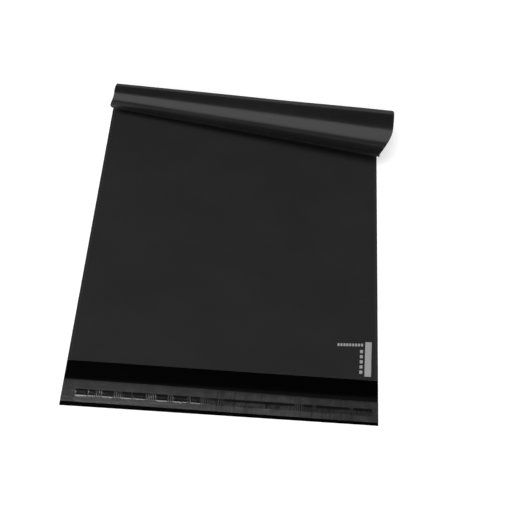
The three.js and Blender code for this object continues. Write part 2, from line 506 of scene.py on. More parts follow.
class Effects:
    """Shader node groups that more than one finish or print uses. Lengths in them are metres."""

    cloud_scale = 22.0
    cloud_squeeze = (0.6, 1.0, 1.0)  # less than 1 stretches a pattern across the bag
    line_scale = 900.0
    line_squeeze = (0.02, 1.0, 1.0)
    grain_scale = 2600.0
    ink_blur = 0.00012

    def __init__(self) -> None:
        """Builds every group once."""
        self.film_grain = self.make_film_grain()
        self.side_band = self.make_side_band()
        self.block_row = self.make_block_row()

    def make_film_grain(self) -> bpy.types.NodeTree:
        """Blown film: fine lines across the bag, a matte grain, and broad clouds.

        Returns:
            A group that puts out a height in metres and a cloud value about 0.5.
        """
        sketch, given, wanted = new_group("film_grain", "Place, Line Depth, Grain Depth", "Height, Cloud")
        lines = sketch.noise(sketch.scaled(given["Place"], self.line_squeeze), self.line_scale, 3.0, 0.6)
        grain = sketch.noise(given["Place"], self.grain_scale)
        lines, grain = sketch.times(lines, given["Line Depth"]), sketch.times(grain, given["Grain Depth"])
        sketch.feed(wanted["Height"], sketch.plus(lines, grain))
        clouds = sketch.noise(sketch.scaled(given["Place"], self.cloud_squeeze), self.cloud_scale, 3.0, 0.55)
        sketch.feed(wanted["Cloud"], clouds)
        return sketch.tree

    def make_side_band(self) -> bpy.types.NodeTree:
        """A band along both sides of the bag, with soft borders.

        Returns:
            A group that puts out 1 between Near and Far from the side, and 0 elsewhere.
        """
        sketch, given, wanted = new_group("side_band", "Place, Half Width, Near, Far, Blur", "Band")
        near, far, blur = given["Near"], given["Far"], given["Blur"]
        inwards = sketch.minus(given["Half Width"], sketch.math("ABSOLUTE", sketch.split(given["Place"])[0]))
        after = sketch.ramp(inwards, sketch.minus(near, blur), near)
        until = sketch.ramp(inwards, far, sketch.plus(far, blur))
        sketch.feed(wanted["Band"], sketch.math("SUBTRACT", after, until, clamp=True))
        return sketch.tree

    def make_block_row(self) -> bpy.types.NodeTree:
        """A printed row of equal blocks along y, inside a box. One block as long as the box is a plain bar.

        Returns:
            A group that puts out 1 on the ink and 0 off it.
        """
        sketch, given, wanted = new_group("block_row", "X, Y, Half X, Half Y, Pitch, Fill", "Ink")

        def inside(value: Socket, half: Socket) -> Socket:
            """1 where the value is less than half from 0."""
            outer, inner = sketch.plus(half, self.ink_blur), sketch.minus(half, self.ink_blur)
            return sketch.ramp(sketch.math("ABSOLUTE", value), outer, inner)

        box = sketch.times(inside(given["X"], given["Half X"]), inside(given["Y"], given["Half Y"]))
        along = sketch.math("WRAP", sketch.plus(given["Y"], given["Half Y"]), given["Pitch"], 0.0)
        half_block = sketch.times(sketch.times(given["Pitch"], given["Fill"]), 0.5)
        sketch.feed(wanted["Ink"], sketch.times(box, inside(sketch.minus(along, half_block), half_block)))
        return sketch.tree


def new_material(name: str) -> tuple[bpy.types.Material, Sketch, Sockets]:
    """Starts a material.

    Args:
        name: name of the material.

    Returns:
        The material, a sketch of its tree, and the inputs of its Principled BSDF.
    """
    material = bpy.data.materials.new(name)
    material.use_nodes = True
    return material, Sketch(material.node_tree), material.node_tree.nodes["Principled BSDF"].inputs


def grey(value: float) -> tuple[float, float, float, float]:
    """A neutral colour for a socket, with full alpha."""
    return (value, value, value, 1.0)


@dataclass(frozen=True)
class Print:
    """A plain printed block, or a row of them, on the front panel."""

    x: float
    y: float
    half_x: float
    half_y: float
    blocks: int = 1
    fill: float = 1.0  # share of the row's pitch that a block fills
    across: bool = False  # the row runs along x instead of y
    lean: float = 0.028  # how far its sides lean towards +x, for each length along +y
    rise: float = 0.042  # how far its ends rise towards +y, for each length along +x

    def ink(self, sketch: Sketch, row: bpy.types.NodeTree, x: Socket, y: Socket) -> Socket:
        """Where its ink lies.

        Args:
            sketch: sketch of the material's tree.
            row: the block_row group.
            x: flat x of the shaded point.
            y: flat y of the shaded point.

        Returns:
            1 on the ink and 0 off it.
        """
        from_x, from_y = sketch.minus(x, self.x), sketch.minus(y, self.y)
        aside = sketch.math("MULTIPLY_ADD", from_y, -self.lean, from_x)
        along = sketch.math("MULTIPLY_ADD", from_x, -self.rise, from_y)
        half_aside, half_along = self.half_x, self.half_y
        if self.across:
            aside, along, half_aside, half_along = along, aside, half_along, half_aside
        pitch = 2 * half_along / (self.blocks - 1 + self.fill)
        return sketch.group(
            row, X=aside, Y=along, Half_X=half_aside, Half_Y=half_along, Pitch=pitch, Fill=self.fill
        )["Ink"]


PRINTS = (
    Print(x=0.11892, y=0.01688, half_x=0.00266, half_y=0.01426),
    Print(x=0.11325, y=0.01445, half_x=0.00120, half_y=0.0098, blocks=5, fill=0.62),
    Print(x=0.10425, y=0.02800, half_x=0.01050, half_y=0.00112, blocks=9, fill=0.7, across=True),
)


@dataclass(frozen=True)
class FilmFinish:
    """One face of the black film."""

    name: str
    tone: float
    roughness: float
    shine: float
    cloud: float = 0.15  # share by which the broad clouds change the tone
    cloud_roughness: float = 0.02  # how much they change the roughness
    line_depth: float = 0.0000012
    grain_depth: float = 0.000002
    weld_tone_and_sheen: float = 1.0  # tone of the weld, as a share of the film's: partly the seal's own whitening, partly a painted highlight of the seam
    weld_start: float = 0.0006  # from the side
    weld_blur: float = 0.0004
    prints: tuple[Print, ...] = ()
    ink: float = 0.355
    wear: float = 0.14  # share of the ink that has worn off in spots
    wear_scale: float = 900.0
    grazing: float = 0.45  # how much rougher the film looks along its outline
    outline: Pair = (0.4, 0.75)  # Facing values over which it gets so
    painted_rim_sheen: float = 0.0  # painted reflection: added to the tone in a rim along the liner's upper edge
    rim: Corners = (-0.030, -0.025, -0.0157, -0.0120)  # flat y of the rim: starts, full, full, ends

    def material(self, bag: BagSize, effects: Effects) -> bpy.types.Material:
        """Builds the material.

        Args:
            bag: sizes of the bag.
            effects: the shared node groups.

        Returns:
            The material, which reads the film's flat places.
        """
        material, sketch, shader = new_material(self.name)
        place = sketch.attribute(PLACE, "Vector")
        grain = sketch.group(
            effects.film_grain, Place=place, Line_Depth=self.line_depth, Grain_Depth=self.grain_depth
        )
        # The weld band, lighter partly from the seal's own whitening and partly from a painted highlight of
        # the seam
        weld = sketch.group(
            effects.side_band,
            Place=place,
            Half_Width=bag.half_width,
            Near=self.weld_start,
            Far=bag.weld,
            Blur=self.weld_blur,
        )["Band"]
        cloud = sketch.ramp(grain["Cloud"], 0.25, 0.75, 1 - self.cloud, 1 + self.cloud)
        tone = sketch.times(cloud, sketch.ramp(weld, 0.0, 1.0, self.tone, self.tone * self.weld_tone_and_sheen))
        # Painted reflection: the lip film is made lighter in a rim just above the liner's upper edge
        if self.painted_rim_sheen:
            y = sketch.split(place)[1]
            starts, full, still_full, ends = self.rim
            fades = sketch.ramp(y, ends, still_full, 0.0, self.painted_rim_sheen)
            tone = sketch.plus(tone, sketch.times(fades, sketch.ramp(y, starts, full)))
        colour = self.printed(sketch, effects, place, sketch.neutral(tone))
        sketch.feed(shader["Base Color"], colour)

        facing = sketch.add("ShaderNodeLayerWeight").outputs["Facing"]
        rough = sketch.ramp(facing, *self.outline, self.roughness, self.roughness + self.grazing)
        uneven = sketch.ramp(grain["Cloud"], 0.25, 0.75, -self.cloud_roughness, self.cloud_roughness)
        sketch.feed(shader["Roughness"], sketch.math("MINIMUM", sketch.plus(uneven, rough), 1.0))
        sketch.feed(shader["Normal"], sketch.bump(grain["Height"]))
        shader["Specular IOR Level"].default_value = self.shine
        return material

    def printed(self, sketch: Sketch, effects: Effects, place: Socket, film: Socket) -> Socket:
        """The film's colour with the ink on it.

        Args:
            sketch: sketch of the material's tree.
            effects: the shared node groups.
            place: the flat place.
            film: the film's own colour.

        Returns:
            The colour to use.
        """
        if not self.prints:
            return film
        x, y, _ = sketch.split(place)
        ink = 0.0
        for block in self.prints:
            ink = sketch.math("MAXIMUM", ink, block.ink(sketch, effects.block_row, x, y))
        left = sketch.ramp(sketch.noise(place, self.wear_scale, 3.0), 0.2, 0.5, 1 - self.wear, 1.0)
        return sketch.mix(sketch.times(ink, left), film, grey(self.ink))


@dataclass(frozen=True)
class GlueFinish:
    """Clear hot-melt on the black film."""

    tone: float = 0.006
    swirl_tone: float = 2.2  # tone of the swirls, as a share of the tone
    swirl_scale: float = 500.0
    roughness: float = 0.12
    swirl_roughness: float = 0.1  # how much rougher the swirls are

    def material(self) -> bpy.types.Material:
        """Builds the material, which is smooth with a slight swirl from the nozzle."""
        material, sketch, shader = new_material("hot_melt")
        swirl = sketch.noise(sketch.attribute(PLACE, "Vector"), self.swirl_scale, 3.0)
        colour = sketch.mix(swirl, grey(self.tone), grey(self.tone * self.swirl_tone))
        sketch.feed(shader["Base Color"], colour)
        rough = sketch.ramp(swirl, 0.3, 0.7, self.roughness, self.roughness + self.swirl_roughness)
        sketch.feed(shader["Roughness"], rough)
        return material


@dataclass(frozen=True)
class LinerFinish:
    """Hazy grey release film, which turns dark where the hot-melt wets it."""

    haze: float = 0.029
    streaks: float = 0.12  # share by which fine streaks change the haze
    streak_scale: float = 420.0
    streak_squeeze: tuple[float, float, float] = (0.22, 1.0, 1.0)  # stretches them across the bag
    wet: float = 0.001
    roughness: float = 0.13
    streak_roughness: float = 0.05  # how much rougher the streaks are
    shine: float = 0.5
    coat: float = 1.0  # share of a second reflection, from the air gap under the dry liner
    line_depth: float = 0.000003
    grain_depth: float = 0.0000008

    def material(self, effects: Effects) -> bpy.types.Material:
        """Builds the material.

        Args:
            effects: the shared node groups.

        Returns:
            The material, which reads the liner's flat places, how wet it is and how hazy, with its painted
            reflection.
        """
        material, sketch, shader = new_material("release_liner")
        place = sketch.attribute(PLACE, "Vector")
        wet = sketch.attribute(WET)
        grain = sketch.group(
            effects.film_grain, Place=place, Line_Depth=self.line_depth, Grain_Depth=self.grain_depth
        )
        streak = sketch.noise(sketch.scaled(place, self.streak_squeeze), self.streak_scale, 3.0, 0.6)
        least, most = self.haze * (1 - self.streaks), self.haze * (1 + self.streaks)
        # The haze share holds painted reflection below and just above the hot-melt
        haze = sketch.times(sketch.attribute(HAZE_AND_SHEEN), sketch.ramp(streak, 0.25, 0.75, least, most))
        rough = sketch.ramp(streak, 0.2, 0.8, self.roughness, self.roughness + self.streak_roughness)
        sketch.feed(shader["Base Color"], sketch.mix(wet, sketch.neutral(haze), grey(self.wet)))
        sketch.feed(shader["Roughness"], rough)
        sketch.feed(shader["Coat Weight"], sketch.ramp(wet, 0.0, 1.0, self.coat, 0.0))
        sketch.feed(shader["Normal"], sketch.bump(grain["Height"]))
        shader["Coat Roughness"].default_value = self.roughness
        shader["Specular IOR Level"].default_value = self.shine
        return material


class Face(IntEnum):
    """Faces of the film, each with a finish of its own. The numbers are those of the material slots."""

    FRONT = 0
    BACK = 1
    INSIDE = 2


@dataclass
class FilmBag:
    """The folded and welded film: back panel, bottom fold, front panel and lip, in one closed skin."""

    bag: BagSize
    curl: Curl
    effects: Effects
    bead: float = 0.00010  # height of the bead along each side
    bead_inset: float = 0.0009
    bead_half_width: float = 0.0005
    mouth_lift: float = 0.00030
    mouth_reach: float = 0.016
    air: float = 0.00016  # unevenness of the front panel
    least_gap: float = 0.00004
    soft_ramp: float = 1.6  # length of the smooth ramp beside a weld, as a share of the CAD's straight one
    pucker: float = 0.00012
    pucker_reach: float = 0.009
    pucker_from: float = 0.012  # flat y up to which the puckers grow
    roll_swell: float = 0.00025
    swells_past_lift: Pair = (0.004, 0.03)  # distances from the lift line over which that grows
    levels_past_lift: Pair = (0.03, -0.02)  # the same for the panel's unevenness
    level_share: float = 0.4  # share of the panel's unevenness that is left in the roll
    fold_level: float = 0.02  # distance from the fold over which the panel gets level
    middle_columns: int = 84
    flat_rows: int = 100
    roll_rows: int = 100
    lip_rows: int = 12
    nose_rows: int = 4

    def __post_init__(self) -> None:
        """Draws the uneven fields."""
        self.panel_swell = Swell(seed=3, shortest=0.035, longest=0.13, stretch=1.6)
        self.mouth_swell = Swell(seed=5, shortest=0.03, longest=0.09)
        self.pucker_swell = Swell(seed=8, shortest=0.011, longest=0.024)
        self.sheet_swell = Swell(seed=13, shortest=0.05, longest=0.16, stretch=2.0)

    def inwards(self, x: np.ndarray) -> np.ndarray:
        """Distance from the nearer side of the bag."""
        return self.bag.half_width - np.abs(x)

    def sheet_height(self, x: np.ndarray, y: np.ndarray) -> np.ndarray:
        """Height of the whole sheet over its ideal place.

        Puckers along the welds are swell x exp(-distance / reach), and only lift the film. In the roll a
        slow swell moves the sheet both ways.
        """
        near_weld = np.exp(-self.inwards(x) / self.pucker_reach) * smooth_step(y, 0.0, self.pucker_from)
        lifted = self.pucker * near_weld * (0.5 + 0.5 * self.pucker_swell.at(x * 0.2, y))
        in_roll = smooth_step(y - self.curl.lift_at(x), *self.swells_past_lift)
        return np.clip(lifted, 0, None) + self.roll_swell * in_roll * self.sheet_swell.at(x, y)

    def gap(self, x: np.ndarray, y: np.ndarray) -> np.ndarray:
        """Air between the panels: none in the welds, less towards the fold, and uneven in between.

        It is opening x (pocket + unevenness + lift x exp(-y / reach) at the mouth).
        """
        bag = self.bag
        opened = smooth_step(self.inwards(x), bag.weld, bag.weld + self.soft_ramp * bag.weld_ramp)
        depth = blend(bag.pocket, bag.fold_pocket, y / bag.length)
        uneven = self.air * (0.5 + 0.5 * self.panel_swell.at(x, y))
        uneven = uneven * smooth_step(y, bag.length, bag.length - self.fold_level)
        mouth = self.mouth_lift * np.exp(-y / self.mouth_reach)
        mouth = mouth * (0.55 + 0.45 * self.mouth_swell.at(x, 0 * y))
        flat_part = smooth_step(y - self.curl.lift_at(x), *self.levels_past_lift)
        air = depth + uneven * blend(self.level_share, 1.0, flat_part) + mouth
        return opened * np.clip(air, self.least_gap, None)

    def side_bead(self, x: np.ndarray) -> np.ndarray:
        """Height of the bead that the cutting seal leaves on each side: exp(-(distance / half width)^2)."""
        return self.bead * np.exp(-(((self.inwards(x) - self.bead_inset) / self.bead_half_width) ** 2))

    def columns(self) -> tuple[np.ndarray, int]:
        """Where the columns of points stand.

        Returns:
            Flat x of each column, closer together near the sides, and the number of the column where the
            left weld ends.
        """
        # Distances from a side, given in millimetres
        beside = np.array([0.0, 0.3, 0.6, 0.9, 1.2, 1.5, 1.9, 2.5, 3.2, 4.1, 5.2, 6.6, 8.2, 10.0]) / 1000
        edge = self.bag.half_width
        start = edge - beside[-1] - 0.002
        middle = np.linspace(-start, start, self.middle_columns)
        weld_column = int(np.argmin(np.abs(beside - self.bag.weld)))
        return np.concatenate([beside - edge, middle, (edge - beside)[::-1]]), weld_column

    def build(self) -> Piece:
        """Makes the film's mesh, dresses it and hands it to the frame."""
        bag = self.bag
        shell = Shell()
        columns, weld = self.columns()
        pocket = slice(weld, len(columns) - weld)

        lift = self.curl.lift_at(columns)
        mouth = bag.skew_at(columns)
        flat = blend(mouth, lift, np.linspace(0, 1, self.flat_rows + 1)[:, None])
        rolled = blend(lift, bag.length - bag.fold_depth, np.linspace(0, 1, self.roll_rows + 1)[1:, None])
        y = np.concatenate([flat, rolled])
        x = np.broadcast_to(columns, y.shape)

        def lay(x_at: np.ndarray, y_at: np.ndarray, height: float | np.ndarray) -> np.ndarray:
            """Adds points at flat places, at a height over the back panel's outer face."""
            points = self.curl.place(x_at, y_at, 0 * y_at + height + self.sheet_height(x_at, y_at))
            return shell.add(points + bag.origin, x_at, y_at)

        # The two panels, and the pocket between them, which ends at the welds
        gap = self.gap(x, y)
        top = 2 * bag.film + gap + self.side_bead(x)
        outer_back = lay(x, y, 0.0)
        outer_front = lay(x, y, top)
        edge_row = lay(x[0], y[0], bag.film)
        inner_back = np.concatenate([edge_row[None, pocket], lay(x[1:, pocket], y[1:, pocket], bag.film)])
        inner_front = lay(x[:, pocket], y[:, pocket], bag.film + gap[:, pocket])
        inner_front[:, [0, -1]] = inner_back[:, [0, -1]]
        shell.surface(outer_front, Face.FRONT, cell=0)
        shell.surface(outer_back, Face.BACK, cell=1, turned=True)
        shell.surface(inner_back, Face.INSIDE, cell=2)
        shell.surface(inner_front, Face.INSIDE, cell=3, turned=True)
        shell.surface(np.stack([inner_back[-1], inner_front[-1]]), Face.INSIDE, cell=2)

        # The lip, which is the back panel past the mouth
        lip_y = blend(-bag.lip, mouth, np.linspace(0, 1, self.lip_rows + 1)[:-1, None])
        lip_x = np.broadcast_to(columns, lip_y.shape)
        lip_under = np.concatenate([lay(lip_x, lip_y, 0.0), outer_back[:1]])
        lip_top = np.concatenate([lay(lip_x, lip_y, bag.film), edge_row[None]])
        shell.surface(lip_under, Face.BACK, cell=1, turned=True)
        shell.surface(lip_top, Face.INSIDE, cell=2)
        shell.surface(np.stack([lip_under[0], lip_top[0]]), Face.INSIDE, cell=2)

        # The front panel's cut edge at the mouth, and the bottom fold
        under_mouth = edge_row.copy()
        under_mouth[pocket] = inner_front[0]
        shell.surface(np.stack([under_mouth, outer_front[0]]), Face.FRONT, cell=0)
        nose = self.lay_nose(lay, x[-1], y[-1], top[-1])
        shell.surface(np.concatenate([outer_front[-1:], nose, outer_back[-1:]]), Face.BACK, cell=1)

        # The side edges, with a face of many corners where the front panel starts and where the fold ends
        for side, turned in ((0, True), (-1, False)):
            back, front = outer_back[:, side], outer_front[:, side]
            lip_edge = np.stack([lip_under[:, side], lip_top[:, side]])
            mouth_corners = [back[0], back[1], front[1], front[0], edge_row[side]]
            shell.surface(lip_edge, Face.INSIDE, cell=2, turned=turned)
            shell.surface(np.stack([back[1:], front[1:]]), Face.BACK, cell=1, turned=turned)
            shell.face(mouth_corners, Face.BACK, cell=1, turned=turned)
            shell.face([back[-1], *nose[::-1, side], front[-1]], Face.BACK, cell=1, turned=turned)

        film = shell.build("mailer_film", [finish.material(bag, self.effects) for finish in self.finishes()])
        hand_over(film, "bag_film")
        return film

    def lay_nose(self, lay: Callable, x: np.ndarray, y: np.ndarray, top: np.ndarray) -> np.ndarray:
        """Adds the rounded outside of the bottom fold.

        A point is at y + depth x sin(angle) and height top / 2 x (1 + cos(angle)), for angles from 0 to 180.

        Args:
            lay: function that adds points at flat places and a height.
            x: flat x of the body's last row.
            y: flat y of that row.
            top: height of the front panel there.

        Returns:
            Rows of point numbers, from the front panel round to the back panel.
        """
        angle = np.linspace(0, math.pi, self.nose_rows + 2)[1:-1, None]
        nose_y = y + self.bag.fold_depth * np.sin(angle)
        return lay(np.broadcast_to(x, nose_y.shape), nose_y, top / 2 * (1 + np.cos(angle)))

    def finishes(self) -> list[FilmFinish]:
        """The finishes of the three faces, in the order of Face."""
        return [
            # The front and back faces are the same outer film, but the back face's tone is set lower: painted
            # shade on the rolled end, which shows the back face
            FilmFinish("front_film", 0.0206, 0.52, 0.04, cloud=0.08, weld_tone_and_sheen=1.25, prints=PRINTS),
            FilmFinish("back_film", 0.0120, 0.24, 0.20, weld_tone_and_sheen=1.1, grain_depth=0.0000009),
            FilmFinish("inside_film", 0.0004, 0.34, 0.02, cloud=0.1, painted_rim_sheen=0.0045),
        ]


@dataclass
class GlueLine:
    """The hot-melt's path on the lip, which the strip and the liner both follow.

    The nozzle lays full blocks, with stretches of fine ribs between them. The line is full on the left and
    thin on the right.
    """

    centre: float
    half_width: float = 0.0035
    height: float = 0.00026
    # Where each block starts and ends, in millimetres from the middle of the bag, and how full it is
    blocks_at: Spans = (
        (-115.3, -106.5, 1.0), (-104.9, -100.1, 0.75), (-93.7, -85.0, 1.0), (-77.9, -70.3, 0.9),
        (-68.9, -59.5, 0.8), (-49.9, -41.2, 1.0), (-36.4, -25.2, 0.8), (-22.1, -14.8, 0.7),
        (4.5, 14.5, 0.4), (28.0, 36.5, 0.4), (37.0, 41.5, 1.0), (45.0, 49.5, 0.8),
        (68.0, 74.0, 0.7), (78.0, 95.0, 0.6), (95.0, 103.5, 0.4), (108.5, 117.5, 0.6),
    )
    # Where the thin part of the line has clear ribs, in the same way, and how clear they are
    ribbed_at: Spans = ((-2.0, 3.5, 0.7), (60.5, 67.5, 1.0), (74.5, 77.5, 0.8), (104.2, 107.5, 1.0))
    block_soft: float = 0.0007  # half of the width of the border of a block
    wet_soft: float = 0.0003  # the same for its dark mark on the liner
    rib_soft: float = 0.0008  # and for a ribbed span
    rib_pitch: float = 0.00175
    rib_wander: float = 1.5  # in radians
    thin_from: float = -0.022
    thin_to: float = 0.006
    thin_share: float = 0.4
    end: float = 0.1215
    end_soft: float = 0.001
    # Distances from the centre line, towards the mouth
    foot: float = -0.0047  # where the liner meets the lip again
    foot_swell: float = 0.0008  # how unevenly it does
    thin_ends: Pair = (-0.0045, -0.0036)  # where the half dark part ends if the line is thin
    full_ends: Pair = (-0.0036, -0.0031)  # and if it is full
    end_swell: float = 0.0007  # how unevenly it ends where the line is thin
    crest: float = -0.0029  # lower end of the bead's flat top
    shoulder: float = 0.0004  # upper end of the flat top
    top_edge: float = 0.0016
    upper_border: Corners = (-0.0009, -0.0001, 0.0012, 0.0018)  # dark bands along the borders of the bead
    lower_border: Corners = (-0.0036, -0.0031, -0.0020, -0.0015)

    def __post_init__(self) -> None:
        """Draws the unevenness of the ribs and of the wetting."""
        self.rib_swell = Swell(seed=22, shortest=0.004, longest=0.02)
        self.wet_swell = Swell(seed=23, shortest=0.0015, longest=0.008)

    def spans(self, table: Spans, x: np.ndarray, soft: float) -> np.ndarray:
        """The value of the span in which each x lies, and 0 outside the spans.

        Args:
            table: start, end and value of each span, the first two in millimetres.
            x: flat x of each point.
            soft: half of the width of a span's border.

        Returns:
            The sum, over all spans, of value x (a rise at the start - a rise at the end).
        """
        starts, ends, values = np.array(table).T
        after = smooth_step(x[..., None], starts / 1000 - soft, starts / 1000 + soft)
        until = smooth_step(x[..., None], ends / 1000 - soft, ends / 1000 + soft)
        return ((after - until) * values).sum(axis=-1)

    def ribbed(self, x: np.ndarray) -> np.ndarray:
        """How clear the ribs of the thin part are."""
        return self.spans(self.ribbed_at, x, self.rib_soft)

    def fullness(self, x: np.ndarray) -> np.ndarray:
        """How full the line is: 0 outside its ends, 1 on the left, and its thin share on the right."""
        start = self.blocks_at[0][0] / 1000
        thinned = blend(1.0, self.thin_share, smooth_step(x, self.thin_from, self.thin_to))
        started = smooth_step(x, start - self.end_soft, start)
        return thinned * started * smooth_step(x, self.end + self.end_soft, self.end)

    def full_part(self, x: np.ndarray) -> np.ndarray:
        """1 where the line is full, and 0 where it is thin."""
        return smooth_step(self.fullness(x), 0.45, 0.9)

    def ribs(self, x: np.ndarray, y: np.ndarray) -> np.ndarray:
        """Fine ribs across the line, from 0 to 1: (1 + sin(2 pi x / pitch)) / 2, with a wandering phase.

        They are strong on the full part of the line and in the ribbed spans, and weak elsewhere.
        """
        phase = math.tau * x / self.rib_pitch + self.rib_wander * self.rib_swell.at(x, y)
        strong = np.maximum(blend(0.3, 1.0, self.full_part(x)), self.ribbed(x))
        return 0.5 + 0.5 * np.sin(phase) * strong

    def along(self, x: np.ndarray, y: np.ndarray) -> np.ndarray:
        """Height along the line, from 0 to 1: full in blocks, and low with ribs between them."""
        blocks = self.spans(self.blocks_at, x, self.block_soft)
        return blend(0.04 + 0.85 * self.ribs(x, y), 1.0, blocks) * self.fullness(x)

    def drape(self, x: np.ndarray, y: np.ndarray) -> np.ndarray:
        """Height of the liner over the lip: the bead's, drawn out to an uneven foot on its lower side."""
        foot = self.foot + self.foot_swell * self.wet_swell.at(x, 0 * y)
        corners = (foot, self.crest, self.shoulder, self.top_edge)
        return self.height * self.along(x, y) * plateau(y - self.centre, corners)

    def top(self, x: np.ndarray, y: np.ndarray) -> np.ndarray:
        """Height of the hot-melt over the lip, which fills the liner's drape up to the strip's lower edge."""
        inside = smooth_step(y - self.centre, -self.half_width, self.crest)
        return np.minimum(self.drape(x, y), self.height * self.along(x, y) * inside)

    def wet(self, x: np.ndarray, y: np.ndarray) -> np.ndarray:
        """How far the hot-melt wets the liner, from 0 to 1.

        In a block it is most along the upper and the lower border of the bead, and less between them. Between
        blocks it follows the ribs. Where the line is thin, the upper border is dark and the rest half dark.
        """
        across = y - self.centre
        full = self.full_part(x)
        blocks = self.spans(self.blocks_at, x, self.wet_soft)
        ribs = self.ribs(x, y)
        upper = plateau(across, self.upper_border)
        lower = plateau(across, self.lower_border) * full
        uneven = np.clip(0.5 + blend(1.2, 0.7, full) * self.wet_swell.at(x, y), 0, 1)

        # The half dark part between the borders, which ends at an uneven depth where the line is thin
        depth = self.end_swell * self.rib_swell.at(0.5 * x, 0 * y)
        ends = [blend(thin + depth, whole, full) for thin, whole in zip(self.thin_ends, self.full_ends)]
        fades = smooth_step(across, *ends)
        inner = smooth_step(across, 0.0012, 0.0002) * fades

        least, most = blend(0.1 + 0.5 * blocks, 0.4, full), blend(0.4 + 0.5 * blocks, 0.9, full)
        in_block = np.clip(np.maximum(upper, lower) + inner * blend(least, most, uneven), 0, 1)
        ribbed = np.clip(2.4 * ribs - 0.7, 0, 1) * (upper + inner).clip(0, 1)
        seeped = 0.9 * upper + blend(0.3, 0.7, uneven) * inner * (0.3 + ribs)
        between = blend(seeped, ribbed, np.maximum(full, self.ribbed(x)))
        wetted = blend(between, in_block, np.clip(1.4 * blocks, 0, 1))
        return np.clip(wetted, 0, 1) * smooth_step(self.fullness(x), 0.0, 0.3)


